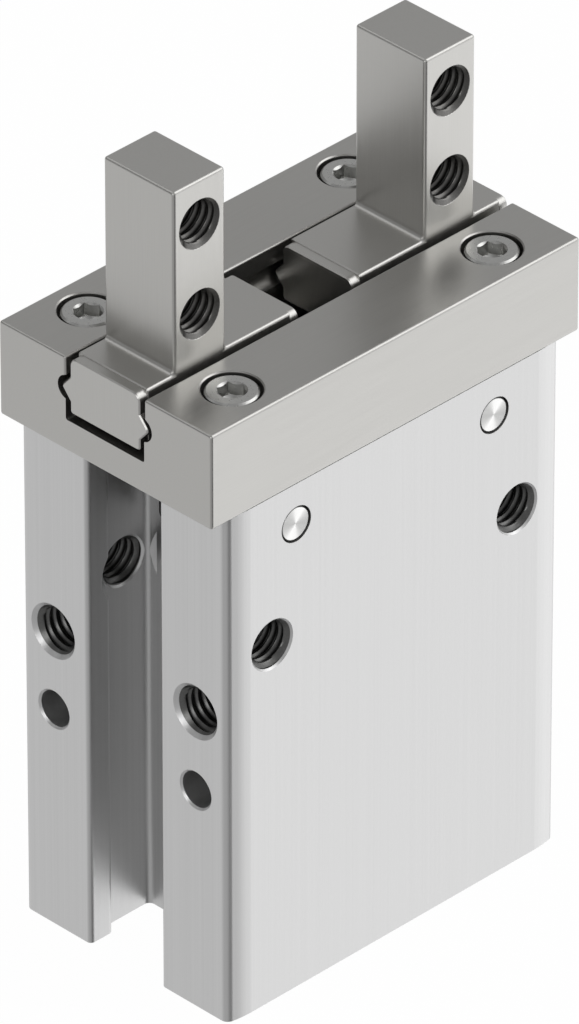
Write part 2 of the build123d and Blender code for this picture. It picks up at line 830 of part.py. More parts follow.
def make_bottom_cap():
    radius = bore_radius - bottom_cap_clearance
    cap = rod_along_z(radius, cap_bottom, cap_top)
    cap = bevel_rims(cap, [cap_bottom, cap_top], radius, bottom_cap_chamfer)
    cap -= rod_along_z(bottom_cap_recess_diameter / 2, cap_bottom, cap_bottom + bottom_cap_recess_depth)
    middle = (cap_bottom + cap_top) / 2
    root = bore_radius - o_ring_clearance - o_ring_section - o_ring_clearance
    cap -= ring(bore_radius, root, middle - o_ring_groove_width / 2, middle + o_ring_groove_width / 2)
    return cap


def make_cap_o_ring():
    major = bore_radius - o_ring_clearance - o_ring_section / 2
    return Pos(0, 0, (cap_bottom + cap_top) / 2) * Torus(major, o_ring_section / 2)


def make_retaining_ring():
    """A flat spring ring with a gap and two ears for pliers."""
    low = ring_groove_height + (ring_groove_width - ring_thickness)
    high = low + ring_thickness
    outer = ring_groove_diameter / 2 - ring_groove_clearance
    ear_x = (ring_gap + ring_ear_radius) / 2
    ear_y = ring_ear_inset - outer
    body = ring(outer, outer - ring_width, low, high)
    for side in (-1, 1):
        body += rod_along_z(ring_ear_radius, low, high, side * ear_x, ear_y)
        body -= rod_along_z(ring_ear_hole, low, high, side * ear_x, ear_y)
    return body - block(-ring_gap / 4, ring_gap / 4, -bore_diameter, 0, low, high)


def mirrored(shapes):
    """The same pieces on the left side."""
    if isinstance(shapes, list):
        return [shape.mirror(Plane.YZ) for shape in shapes]
    return shapes.mirror(Plane.YZ)


def write(name, shapes):
    """One STEP file, with each piece as its own solid."""
    if isinstance(shapes, list):
        shapes = Compound(children=shapes)
    export_step(shapes, os.path.join("parts", name + ".step"))


def build():
    right_jaw = make_right_jaw()
    right_lever = make_right_lever()
    right_balls = make_right_balls()
    right_inner_cap = make_end_cap(carriage_inner, 1)
    right_outer_cap = make_end_cap(carriage_outer, -1)
    return {
        "housing": make_housing(),
        "guide_rail": make_guide_rail(),
        "rail_screws": make_rail_screws(),
        "rail_dowels": make_rail_dowels(),
        "lever_pins": make_lever_pins(),
        "bottom_cap": make_bottom_cap(),
        "cap_o_ring": make_cap_o_ring(),
        "retaining_ring": make_retaining_ring(),
        "lower_bumper": make_lower_bumper(),
        "upper_bumper": make_upper_bumper(),
        "rod_bush": make_rod_bush(),
        "rod_seal": make_rod_seal(),
        "seal_retainer": make_seal_retainer(),
        "piston": make_piston(),
        "piston_seal": make_piston_seal(),
        "magnet_ring": make_magnet_ring(),
        "piston_end_disc": make_end_disc(),
        "piston_nut": make_piston_nut(),
        "piston_rod": make_piston_rod(),
        "rod_head": make_rod_head(),
        "head_screw": make_head_screw(),
        "lever_right": right_lever,
        "lever_left": mirrored(right_lever),
        "jaw_right": right_jaw,
        "jaw_left": mirrored(right_jaw),
        "inner_cap_right": right_inner_cap,
        "inner_cap_left": mirrored(right_inner_cap),
        "outer_cap_right": right_outer_cap,
        "outer_cap_left": mirrored(right_outer_cap),
        "balls_right": right_balls,
        "balls_left": mirrored(right_balls),
    }


os.makedirs("parts", exist_ok=True)
for node, shapes in build().items():
    write(node, shapes)
print("piston stroke", round(piston_stroke, 4), "lever swing", round(degrees(lever_angle), 3))
print("piston", round(piston_bottom, 3), "to", round(piston_top, 3), "groove", round(head_groove_centre, 3))
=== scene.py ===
# %% [markdown]
# A small pneumatic gripper. An extruded aluminium housing holds the cylinder, a ground steel rail is
# screwed on top of it, and two steel jaws slide in the rail on balls. Every piece with a real shape
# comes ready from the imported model, so this notebook only dresses it: first the studio, then one
# finish after another, and last the screw threads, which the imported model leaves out.

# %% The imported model
import bmesh
import bpy
import json
import math
from mathutils import Matrix, Vector


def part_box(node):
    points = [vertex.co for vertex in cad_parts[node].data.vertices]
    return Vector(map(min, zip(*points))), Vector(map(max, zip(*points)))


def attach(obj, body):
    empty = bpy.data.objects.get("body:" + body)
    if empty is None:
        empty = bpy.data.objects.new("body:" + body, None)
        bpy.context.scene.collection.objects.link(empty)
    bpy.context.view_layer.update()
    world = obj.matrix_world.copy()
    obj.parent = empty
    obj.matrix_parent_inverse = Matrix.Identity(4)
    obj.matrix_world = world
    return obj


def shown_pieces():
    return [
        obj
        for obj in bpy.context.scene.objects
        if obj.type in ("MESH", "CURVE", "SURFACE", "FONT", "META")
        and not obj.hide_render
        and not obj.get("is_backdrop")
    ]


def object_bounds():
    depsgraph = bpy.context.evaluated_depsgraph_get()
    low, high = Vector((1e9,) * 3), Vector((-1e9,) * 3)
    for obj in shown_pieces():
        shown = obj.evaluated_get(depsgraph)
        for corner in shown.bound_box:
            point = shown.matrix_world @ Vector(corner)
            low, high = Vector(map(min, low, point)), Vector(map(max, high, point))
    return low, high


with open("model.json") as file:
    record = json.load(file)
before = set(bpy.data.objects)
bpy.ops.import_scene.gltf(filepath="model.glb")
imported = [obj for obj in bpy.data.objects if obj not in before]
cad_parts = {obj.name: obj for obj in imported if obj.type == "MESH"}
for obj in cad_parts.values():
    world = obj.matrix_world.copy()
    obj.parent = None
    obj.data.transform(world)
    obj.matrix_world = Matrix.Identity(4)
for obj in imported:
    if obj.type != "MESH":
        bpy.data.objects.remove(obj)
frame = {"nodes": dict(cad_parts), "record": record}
cad_low, cad_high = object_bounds()
scene = bpy.context.scene
size_mm = [round(1000 * side, 1) for side in cad_high - cad_low]
print(len(frame["nodes"]), "pieces in a box of", size_mm, "mm")

# %% [markdown]
# Blender counts in metres and a machinist in millimetres, so lengths below are written in
# millimetres and turned once, with `mm`. Hex colours are what a screen shows. The renderer wants
# linear light, and `linear` is the one place where the two meet.

# %% Units and colours
mm = 0.001
screen_knee = 0.04045


def linear(colour):
    """A hex colour such as "D5D6D4" as linear light, with an alpha of 1."""
    light = []
    for start in (0, 2, 4):
        value = int(colour[start:start + 2], 16) / 255
        light.append(value / 12.92 if value <= screen_knee else ((value + 0.055) / 1.055) ** 2.4)
    return (*light, 1.0)


# %% [markdown]
# Every material is a small tree of nodes. One function adds a node, sets what it needs and links
# its inputs, so that a material reads from top to bottom like a recipe.

# %% One node
def add_node(tree, kind, properties=None, values=None, links=None):
    """Adds a node with its settings, its socket values and what is linked into its sockets."""
    node = tree.nodes.new("ShaderNode" + kind)
    for name, value in (properties or {}).items():
        setattr(node, name, value)
    for socket, value in (values or {}).items():
        node.inputs[socket].default_value = value
    for socket, source in (links or {}).items():
        tree.links.new(source, node.inputs[socket])
    return node


# %% [markdown]
# The camera stands high on the left front corner of the gripper, far away with a long lens, so
# upright edges stay almost parallel. The azimuth, elevation and distance were found by fitting the
# corners of the rail, the fingers and the housing. The aim lies a little beside the gripper's axis,
# which frames it without any lens shift.

# %% Camera
camera_azimuth = math.radians(-44.889)
camera_elevation = math.radians(33.439)
camera_distance = 1122.7 * mm
camera_lens = 535.1
target_height = 33.0 * mm
aim_right = -0.08 * mm
aim_up = -0.61 * mm

back = Vector((
    math.sin(camera_azimuth) * math.cos(camera_elevation),
    -math.cos(camera_azimuth) * math.cos(camera_elevation),
    math.sin(camera_elevation),
))
right = Vector((math.cos(camera_azimuth), math.sin(camera_azimuth), 0))
up = back.cross(right)
aim = Vector((0, 0, target_height)) + aim_right * right + aim_up * up

camera_data = bpy.data.cameras.new("camera")
camera_data.lens = camera_lens
camera_data.sensor_width = 36.0
camera_data.clip_start = 0.01
camera_data.clip_end = 50.0
camera = bpy.data.objects.new("camera", camera_data)
camera.location = aim + camera_distance * back
camera.rotation_mode = "QUATERNION"
camera.rotation_quaternion = (-back).to_track_quat("-Z", "Y")
scene.collection.objects.link(camera)
scene.camera = camera
scene.view_settings.view_transform = "Standard"
print("camera at", [round(c, 4) for c in camera.location])

# %% [markdown]
# Bare metal has no colour of its own: it shows what stands around it. The studio is therefore built
# from what the faces mirror. Each list below walks once around the gripper, from the back over the
# left side, the front and the right side to the back again, as pairs of an angle from the front and
# a level of light. Below the horizon stand the walls that the upright faces mirror: a pale one on
# the left, a bright one on the right, and a narrow dark gap in front that draws the upright edges.
# Towards the back they grow darker, which outlines the gripper against the white paper.
# Above the horizon the room is dark, which gives the flat tops their deeper grey. Rays that come
# straight from the camera see plain white.

# %% World
walls_below = (
    (-180, 0.70),
    (-155, 0.76),
    (-125, 0.69),
    (-112, 0.60),
    (-100, 0.46),
    (-35, 0.45),
    (-16, 0.14),
    (12, 0.10),
    (28, 0.70),
    (42, 1.31),
    (58, 1.35),
    (78, 1.10),
    (110, 0.74),
    (150, 0.60),
    (180, 0.70),
)
room_above = (
    (-180, 0.22),
    (-155, 0.26),
    (-105, 0.24),
    (-85, 0.34),
    (-20, 0.30),
    (15, 0.50),
    (60, 0.80),
    (95, 0.43),
    (150, 0.42),
    (180, 0.24),
)
horizon_blur = 0.14
white = linear("FFFFFF")


def light_ring(tree, turn, stops):
    """A ring of light levels around the gripper, as a colour ramp over the turn from 0 to 1."""
    ring = add_node(tree, "ValToRGB", links={"Fac": turn})
    elements = ring.color_ramp.elements
    while len(elements) < len(stops):
        elements.new(0.5)
    for element, (degrees, level) in zip(elements, stops):
        element.position = (degrees + 180) / 360
        element.color = (level, level, level, 1.0)
    return ring.outputs["Color"]


def studio_world():
    world = bpy.data.worlds.new("studio")
    scene.world = world
    world.use_nodes = True
    tree = world.node_tree
    tree.nodes.clear()
    direction = add_node(tree, "TexCoord")
    axes = add_node(tree, "SeparateXYZ", links={"Vector": direction.outputs["Generated"]})
    front = add_node(
        tree, "Math", {"operation": "MULTIPLY"}, {1: -1.0}, {0: axes.outputs["Y"]}
    )
    angle = add_node(
        tree, "Math", {"operation": "ARCTAN2"}, links={0: axes.outputs["X"], 1: front.outputs[0]}
    )
    turn = add_node(
        tree,
        "MapRange",
        values={"From Min": -math.pi, "From Max": math.pi},
        links={"Value": angle.outputs[0]},
    )
    above = add_node(
        tree,
        "MapRange",
        {"interpolation_type": "SMOOTHSTEP"},
        {"From Min": -horizon_blur, "From Max": horizon_blur},
        {"Value": axes.outputs["Z"]},
    )
    levels = add_node(
        tree,
        "Mix",
        {"data_type": "RGBA"},
        links={
            "Factor": above.outputs[0],
            "A": light_ring(tree, turn.outputs[0], walls_below),
            "B": light_ring(tree, turn.outputs[0], room_above),
        },
    )
    path = add_node(tree, "LightPath")
    room = add_node(
        tree, "Background", values={"Strength": 1.0}, links={"Color": levels.outputs["Result"]}
    )
    paper = add_node(tree, "Background", values={"Color": white, "Strength": 1.0})
    seen = add_node(
        tree,
        "MixShader",
        links={0: path.outputs["Is Camera Ray"], 1: room.outputs[0], 2: paper.outputs[0]},
    )
    add_node(tree, "OutputWorld", links={"Surface": seen.outputs[0]})


studio_world()

# %% [markdown]
# The floor is white paper. Camera rays see it almost wholly glowing, so it is white and keeps only a
# trace of the gripper's soft shadow. Metal doesn't mirror it, so every flat face takes one even tone
# from the walls of the studio.

# %% Floor
floor_half_width = 6.0
floor_drop = 0.02 * mm
floor_colour = linear("FAFAFA")
floor_glow = 0.985


def floor_material():
    material = bpy.data.materials.new("white_paper_floor")
    material.use_nodes = True
    tree = material.node_tree
    tree.nodes.clear()
    path = add_node(tree, "LightPath")
    share = add_node(
        tree, "Math", {"operation": "MULTIPLY"}, {1: floor_glow}, {0: path.outputs["Is Camera Ray"]}
    )
    paper = add_node(tree, "BsdfDiffuse", values={"Color": floor_colour})
    glow = add_node(tree, "Emission", values={"Color": white, "Strength": 1.0})
    seen = add_node(
        tree, "MixShader", links={0: share.outputs[0], 1: paper.outputs[0], 2: glow.outputs[0]}
    )
    add_node(tree, "OutputMaterial", links={"Surface": seen.outputs[0]})
    return material


def make_floor():
    bm = bmesh.new()
    bmesh.ops.create_grid(bm, x_segments=1, y_segments=1, size=floor_half_width)
    mesh = bpy.data.meshes.new("floor")
    bm.to_mesh(mesh)
    bm.free()
    mesh.materials.append(floor_material())
    floor = bpy.data.objects.new("floor", mesh)
    floor.location.z = -floor_drop
    floor.visible_glossy = False
    scene.collection.objects.link(floor)
    floor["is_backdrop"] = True


make_floor()

# %% [markdown]
# Three soft lamps hang in the dark upper room. The key lamp, high on the right, draws the bright
# lines along the upper edges. The fill lamp, high behind the gripper, draws the paler lines on the
# left of each top, and the side lamp on the left lights the countersinks of the end face. A lamp's
# brightness in a mirror is its power over its area, so big lamps stay gentle.

# %% Lamps


def soft_lamp(name, direction, distance, side, radiance):
    """A square lamp that faces the gripper from a direction and looks as bright as its radiance."""
    data = bpy.data.lights.new(name, "AREA")
    data.shape = "SQUARE"
    data.size = side
    data.energy = radiance * math.pi * side * side
    lamp = bpy.data.objects.new(name, data)
    towards = Vector(direction).normalized()
    lamp.location = Vector((0, 0, target_height)) + distance * towards
    lamp.rotation_mode = "QUATERNION"
    lamp.rotation_quaternion = (-towards).to_track_quat("-Z", "Y")
    scene.collection.objects.link(lamp)


soft_lamp("key_lamp", (0.63, -0.44, 0.64), 1.6, 1.25, 1.15)
soft_lamp("fill_lamp", (-0.25, 0.55, 0.80), 2.0, 1.2, 0.55)
soft_lamp("side_lamp", (-0.81, -0.40, 0.44), 1.6, 0.8, 2.0)

# %% [markdown]
# Patterns are placed with Object coordinates. Each piece sits at the origin with its place in its
# mesh, so these are true positions on the gripper. Scaled by a thousand they are millimetres, and a
# noise of scale 1 then has grains of about a millimetre. A stretched noise makes lines: it changes
# slowly along the direction in which a tool or a die moved, and quickly across it.

# %% Material helpers


def new_material(name, colour, metallic, roughness, **values):
    """A material with one Principled shader. Returns the material, its tree and the shader."""
    material = bpy.data.materials.new(name)
    material.use_nodes = True
    tree = material.node_tree
    tree.nodes.clear()
    settings = {"Base Color": linear(colour), "Metallic": metallic, "Roughness": roughness}
    settings.update({key.replace("_", " "): value for key, value in values.items()})
    shader = add_node(tree, "BsdfPrincipled", values=settings)
    add_node(tree, "OutputMaterial", links={"Surface": shader.outputs[0]})
    return material, tree, shader


def place_in_mm(tree):
    """Where a point lies on the gripper, in millimetres."""
    place = add_node(tree, "TexCoord")
    scaled = add_node(
        tree, "VectorMath", {"operation": "SCALE"}, {"Scale": 1 / mm}, {0: place.outputs["Object"]}
    )
    return scaled.outputs[0]


def lines(tree, place, spacing, length, along, detail=2.0):
    """Noise drawn out along one axis: lines with a spacing and a length in millimetres."""
    scale = [1 / spacing] * 3
    scale["XYZ".index(along)] = 1 / length
    stretched = add_node(
        tree, "Mapping", {"vector_type": "POINT"}, {"Scale": scale}, {"Vector": place}
    )
    noise = add_node(
        tree,
        "TexNoise",
        values={"Scale": 1.0, "Detail": detail, "Roughness": 0.55},
        links={"Vector": stretched.outputs[0]},
    )
    return noise.outputs["Fac"]


def grains(tree, place, width, detail=2.0):
    """Even noise with grains of a width in millimetres."""
    noise = add_node(
        tree,
        "TexNoise",
        values={"Scale": 1 / width, "Detail": detail, "Roughness": 0.6},
        links={"Vector": place},
    )
    return noise.outputs["Fac"]


def vary(tree, pattern, low, high):
    """Turns a pattern of about 0.3 to 0.7 into a value between low and high."""
    spread = add_node(
        tree,
        "MapRange",
        values={"From Min": 0.3, "From Max": 0.7, "To Min": low, "To Max": high},
        links={"Value": pattern},
    )
    return spread.outputs["Result"]


def tint(tree, pattern, dark, light):
    """Turns a pattern into a colour between two hex colours."""
    mix = add_node(
        tree,
        "Mix",
        {"data_type": "RGBA"},
        {"A": linear(dark), "B": linear(light)},
        {"Factor": vary(tree, pattern, 0.0, 1.0)},
    )
    return mix.outputs["Result"]


def relief(tree, pattern, depth):
    """A bump from a pattern, with its depth in millimetres."""
    bump = add_node(
        tree, "Bump", values={"Strength": 1.0, "Distance": depth * mm}, links={"Height": pattern}
    )
    return bump.outputs["Normal"]


def within(tree, place, x_limit, y_limit, z_limit):
    """One inside a box about the gripper's axis and zero outside, for the insides of a recess."""
    size = add_node(tree, "VectorMath", {"operation": "ABSOLUTE"}, links={0: place})
    axes = add_node(tree, "SeparateXYZ", links={"Vector": size.outputs[0]})
    inside = None
    for axis, limit in zip("XYZ", (x_limit, y_limit, z_limit)):
        below = add_node(
            tree, "Math", {"operation": "LESS_THAN"}, {1: limit}, {0: axes.outputs[axis]}
        )
        if inside is None:
            inside = below.outputs[0]
            continue
        both = add_node(
            tree, "Math", {"operation": "MULTIPLY"}, links={0: inside, 1: below.outputs[0]}
        )
        inside = both.outputs[0]
    return inside


def painted_shade(tree, colour, mask, share):
    """A colour, darkened to a share of its brightness where the mask is one: painted shade."""
    strength = add_node(
        tree, "MapRange", values={"To Min": 1.0, "To Max": share}, links={"Value": mask}
    )
    result = add_node(
        tree, "VectorMath", {"operation": "SCALE"}, links={0: colour, "Scale": strength.outputs[0]}
    )
    return result.outputs[0]


# %% [markdown]
# The housing is a 6063 aluminium bar, pushed through a die and then clear anodised. The die leaves
# faint straight lines along the bar, and the oxide layer makes the metal pale, matt and slightly
# milky. The real lines are a few hundredths of a millimetre apart, which is too fine to show, so
# they are drawn 0.3 mm apart. Inside the narrow channels the colour is painted darker: painted
# shade.

# %% Clear anodised aluminium
housing_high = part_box("housing")[1] / mm
channel_half_width = 4.65
channel_margin = 0.05
channel_inside = (
    housing_high.x - channel_margin,
    channel_half_width + channel_margin,
    housing_high.z - 2 * channel_margin,
)
channel_shade_share = 0.93


def anodised_aluminium():
    material, tree, shader = new_material("anodised_extruded_aluminium", "DCDCDB", 1.0, 0.42)
    place = place_in_mm(tree)
    die_lines = lines(tree, place, 0.3, 60.0, "Z")
    colour = tint(tree, die_lines, "D9D9D9", "E0E0E0")
    # The mask darkens the colour inside the channels: painted shade.
    channel_shade_mask = within(tree, place, *channel_inside)
    tree.links.new(painted_shade(tree, colour, channel_shade_mask, channel_shade_share), shader.inputs["Base Color"])
    tree.links.new(vary(tree, die_lines, 0.39, 0.45), shader.inputs["Roughness"])
    tree.links.new(relief(tree, die_lines, 0.003), shader.inputs["Normal"])
    return material


# %% [markdown]
# The rail is hardened steel, surface ground along its length. Grinding leaves short parallel
# scratches and a satin sheen. Steel is darker and a little warmer than aluminium. The walls of the
# slot and of the counterbores, and the carriages' sides that run between them, are painted darker:
# painted shade.

# %% Ground steel
rail_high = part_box("guide_rail")[1] / mm
rail_inside = tuple(rail_high - Vector((0.1, 0.1, 0.15)))
jaw_inside = tuple(rail_high - Vector((0.15, 1.0, 0.2)))
recess_shade_share = 0.88


def ground_steel(name, colour_dark, colour_light, along, inside):
    material, tree, shader = new_material(name, colour_light, 1.0, 0.34)
    place = place_in_mm(tree)
    scratches = lines(tree, place, 0.12, 6.0, along)
    colour = tint(tree, scratches, colour_dark, colour_light)
    # The mask darkens the colour in the slot, the counterbores and on the carriages' sides: painted
    # shade.
    film_and_painted_shade = within(tree, place, *inside)
    tree.links.new(painted_shade(tree, colour, film_and_painted_shade, recess_shade_share), shader.inputs["Base Color"])
    tree.links.new(vary(tree, scratches, 0.31, 0.38), shader.inputs["Roughness"])
    tree.links.new(relief(tree, scratches, 0.0015), shader.inputs["Normal"])
    return material


def rail_steel():
    return ground_steel("surface_ground_rail_steel", "C2C1BE", "C6C5C2", "X", rail_inside)


def jaw_steel():
    return ground_steel("ground_hardened_jaw_steel", "C6C5C2", "CAC9C6", "Z", jaw_inside)


# %% [markdown]
# The visible round parts were turned on a lathe or headed cold. Turning leaves rings round the
# axis, and light falls across them in bright and dark sectors. The shader's anisotropy does that
# when its tangent points away from the axis, and the position gives that direction. The bevel of a
# pin's end is painted dark: painted shade of the narrow gap round the pin.
#
# Both lever pins lie along Y and stand mirrored about the middle, so the absolute X of a point
# centres both of them at once.

# %% Turned and headed steel
pin_low, pin_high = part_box("lever_pins")
pin_radius = (pin_high.z - pin_low.z) / 2
pin_x = pin_high.x - pin_radius
pin_z = (pin_high.z + pin_low.z) / 2
pin_chamfer = 0.2 * mm
pin_chamfer_blur = 0.04 * mm
pin_flat_radius = pin_radius - pin_chamfer


def pin_steel():
    """Bright turned ends with the bevel round them painted dark, as painted shade of the gap."""
    material, tree, shader = new_material(
        "turned_pin_steel", "F0F0EF", 1.0, 0.34, Anisotropic=1.0
    )
    place = add_node(tree, "TexCoord")
    sides = add_node(tree, "SeparateXYZ", links={"Vector": place.outputs["Object"]})
    width = add_node(tree, "Math", {"operation": "ABSOLUTE"}, links={0: sides.outputs["X"]})
    across = add_node(
        tree, "Math", {"operation": "SUBTRACT"}, {1: pin_x}, {0: width.outputs[0]}
    )
    side = add_node(tree, "Math", {"operation": "SIGN"}, links={0: sides.outputs["X"]})
    across = add_node(
        tree, "Math", {"operation": "MULTIPLY"}, links={0: across.outputs[0], 1: side.outputs[0]}
    )
    height = add_node(
        tree, "Math", {"operation": "SUBTRACT"}, {1: pin_z}, {0: sides.outputs["Z"]}
    )
    radial = add_node(
        tree, "CombineXYZ", links={"X": across.outputs[0], "Z": height.outputs[0]}
    )
    radius = add_node(tree, "VectorMath", {"operation": "LENGTH"}, links={0: radial.outputs[0]})
    outward = add_node(tree, "VectorMath", {"operation": "NORMALIZE"}, links={0: radial.outputs[0]})
    bevel = add_node(
        tree,
        "MapRange",
        values={"From Min": pin_flat_radius, "From Max": pin_flat_radius + pin_chamfer_blur},
        links={"Value": radius.outputs["Value"]},
    )
    # The dark bevel colour is painted shade of the gap round the pin.
    scale = add_node(
        tree,
        "Mix",
        {"data_type": "RGBA"},
        {"A": linear("F0F0EF"), "B": linear("3E3E3D")},
        {"Factor": bevel.outputs[0]},
    )
    tree.links.new(scale.outputs["Result"], shader.inputs["Base Color"])
    tree.links.new(outward.outputs[0], shader.inputs["Tangent"])
    return material


def screw_steel():
    material, tree, shader = new_material("cold_headed_screw_steel", "C9C9C7", 1.0, 0.30)
    place = place_in_mm(tree)
    marks = grains(tree, place, 0.25)
    tree.links.new(tint(tree, marks, "C5C5C3", "CCCCCA"), shader.inputs["Base Color"])
    tree.links.new(vary(tree, marks, 0.26, 0.36), shader.inputs["Roughness"])
    tree.links.new(relief(tree, marks, 0.003), shader.inputs["Normal"])
    return material


turning_ring = 0.25 * mm
wave_units_per_ring = 6.5


def turned_aluminium():
    """Bright turned aluminium with fine rings round the cylinder's axis."""
    material, tree, shader = new_material("turned_bright_aluminium", "D9DADC", 1.0, 0.26)
    place = add_node(tree, "TexCoord")
    rings = add_node(
        tree,
        "TexWave",
        {"wave_type": "RINGS", "rings_direction": "Z", "wave_profile": "SIN"},
        {"Scale": 1 / turning_ring / wave_units_per_ring, "Distortion": 0.3, "Detail": 1.0},
        {"Vector": place.outputs["Object"]},
    )
    tree.links.new(vary(tree, rings.outputs["Fac"], 0.22, 0.32), shader.inputs["Roughness"])
    tree.links.new(relief(tree, rings.outputs["Fac"], 0.003), shader.inputs["Normal"])
    return material


# %% [markdown]
# The pieces inside the housing show only through the sensor channels and when the gripper is taken
# apart, and each still gets its own finish: hard chrome on the rod, dark hardened steel on the
# levers, polished balls, phosphated spring steel, sintered bronze with open pores, moulded rubber
# and a magnet pressed from ferrite powder.

# %% Inner metals


def rod_chrome():
    material, tree, shader = new_material("hard_chromed_rod", "E2E3E6", 1.0, 0.12)
    place = place_in_mm(tree)
    polish = lines(tree, place, 0.1, 3.0, "X")
    tree.links.new(vary(tree, polish, 0.09, 0.16), shader.inputs["Roughness"])
    return material


def lever_steel():
    material, tree, shader = new_material("hardened_tumbled_steel", "ACABA9", 1.0, 0.40)
    place = place_in_mm(tree)
    stains = grains(tree, place, 1.6)
    pits = grains(tree, place, 0.18)
    tree.links.new(tint(tree, stains, "9F9D9A", "B1B0AE"), shader.inputs["Base Color"])
    tree.links.new(relief(tree, pits, 0.006), shader.inputs["Normal"])
    return material


def ball_steel():
    material, tree, shader = new_material("lapped_bearing_steel", "E4E4E5", 1.0, 0.07)
    place = place_in_mm(tree)
    film_and_painted_shade = grains(tree, place, 0.8)
    tree.links.new(vary(tree, film_and_painted_shade, 0.05, 0.11), shader.inputs["Roughness"])
    return material


def spring_steel():
    material, tree, shader = new_material("phosphated_spring_steel", "4A4A4C", 0.7, 0.52)
    place = place_in_mm(tree)
    crystals = grains(tree, place, 0.15)
    tree.links.new(tint(tree, crystals, "3C3C3E", "555558"), shader.inputs["Base Color"])
    tree.links.new(relief(tree, crystals, 0.005), shader.inputs["Normal"])
    return material


def sintered_bronze():
    material, tree, shader = new_material("sintered_bronze", "C79B5E", 1.0, 0.46)
    place = place_in_mm(tree)
    pores = add_node(
        tree, "TexVoronoi", {"feature": "F1"}, {"Scale": 1 / 0.35}, {"Vector": place}
    )
    tree.links.new(
        tint(tree, pores.outputs["Distance"], "8A6434", "CBA164"), shader.inputs["Base Color"]
    )
    tree.links.new(relief(tree, pores.outputs["Distance"], 0.02), shader.inputs["Normal"])
    return material


# %% Rubber and magnet


def moulded_rubber(name, colour_dark, colour_light, roughness):
    material, tree, shader = new_material(name, colour_dark, 0.0, roughness)
    place = place_in_mm(tree)
    bloom = grains(tree, place, 1.2)
    skin = grains(tree, place, 0.12)
    tree.links.new(tint(tree, bloom, colour_dark, colour_light), shader.inputs["Base Color"])
    tree.links.new(relief(tree, skin, 0.008), shader.inputs["Normal"])
    return material


def seal_rubber():
    return moulded_rubber("moulded_nitrile_rubber", "1B1B1C", "252526", 0.48)


def bumper_rubber():
    return moulded_rubber("moulded_urethane_rubber", "303234", "3C3E40", 0.42)


def magnet_ferrite():
    material, tree, shader = new_material("plastic_bonded_ferrite", "3A3A3D", 0.25, 0.58)
    place = place_in_mm(tree)
    powder = grains(tree, place, 0.2)
    tree.links.new(tint(tree, powder, "2E2E31", "454549"), shader.inputs["Base Color"])
    tree.links.new(relief(tree, powder, 0.01), shader.inputs["Normal"])
    return material


# %% [markdown]
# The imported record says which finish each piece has, so one loop hands them out.

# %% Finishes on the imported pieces
finishes = {
    "anodised_aluminium": anodised_aluminium(),
    "turned_aluminium": turned_aluminium(),
    "ground_steel": rail_steel(),
    "jaw_steel": jaw_steel(),
    "screw_steel": screw_steel(),
    "pin_steel": pin_steel(),
    "rod_steel": rod_chrome(),
    "lever_steel": lever_steel(),
    "ball_steel": ball_steel(),
    "spring_steel": spring_steel(),
    "bronze": sintered_bronze(),
    "seal_rubber": seal_rubber(),
    "bumper_rubber": bumper_rubber(),
    "magnet_ferrite": magnet_ferrite(),
}

for part in frame["record"]["subparts"]:
    piece = frame["nodes"][part["node"]]
    for slot in piece.material_slots:
        slot.material = finishes[part["material_slot"]]

# %% [markdown]
# An internal thread is a ridge that winds down the wall of its hole. Its section has 60 degree
# flanks, a rounded crest and a strip of wall on both sides, so that neighbouring turns line the
# whole hole. Its sizes are shares of the pitch. A spin that also moves along its axis at each step
# turns that section into a helix.
#
# The countersink at the mouth is cut after the thread and takes the first crests away. Here every
# point that would stand in front of that cone is moved back onto it, which gives the thread its
# tapering start. All of it has the torn surface that a tap leaves, and its colour is painted far
# darker than the metal round it as painted shade of the hole.

# %% Screw threads
thread_steps_per_turn = 40
thread_fade_turns = 0.5
wall_overlap = 0.02
lining = 0.015
cone_sink = 0.01
thread_height_share = 0.54
crest_half_width_share = 0.07
crest_rounding_share = 0.05
shoulder_share = 0.17
flank_foot_share = 0.42
smooth_below = math.radians(48)


def tapped_metal(name, colour_dark, colour_light):
    """Metal that a tap has cut: torn across the cut, and painted dark as painted shade inside the
    hole.
    """
    material, tree, shader = new_material(name, colour_light, 1.0, 0.34)
    place = place_in_mm(tree)
    tears = grains(tree, place, 0.12)
    tree.links.new(tint(tree, tears, colour_dark, colour_light), shader.inputs["Base Color"])
    tree.links.new(relief(tree, tears, 0.003), shader.inputs["Normal"])
    return material


# Both colours are far darker than the metal round the holes: painted shade inside the holes.
shaded_tapped_finishes = {
    "anodised_aluminium": tapped_metal("tapped_aluminium_painted_shade", "686867", "757574"),
    "jaw_steel": tapped_metal("tapped_steel_painted_shade", "6E6D6B", "7C7B79"),
}


def thread_section(diameter, pitch):
    """The ridge's section as radii and heights, from its lower edge to its upper one."""
    wall = diameter / 2 + wall_overlap
    root = diameter / 2 - lining
    crest = diameter / 2 - thread_height_share * pitch
    shoulder = crest + crest_rounding_share * pitch
    upper_half = [
        (crest, crest_half_width_share * pitch),
        (shoulder, shoulder_share * pitch),
        (root, flank_foot_share * pitch),
        (root, pitch / 2),
        (wall, pitch / 2),
    ]
    return [(radius, -height) for radius, height in reversed(upper_half)] + upper_half


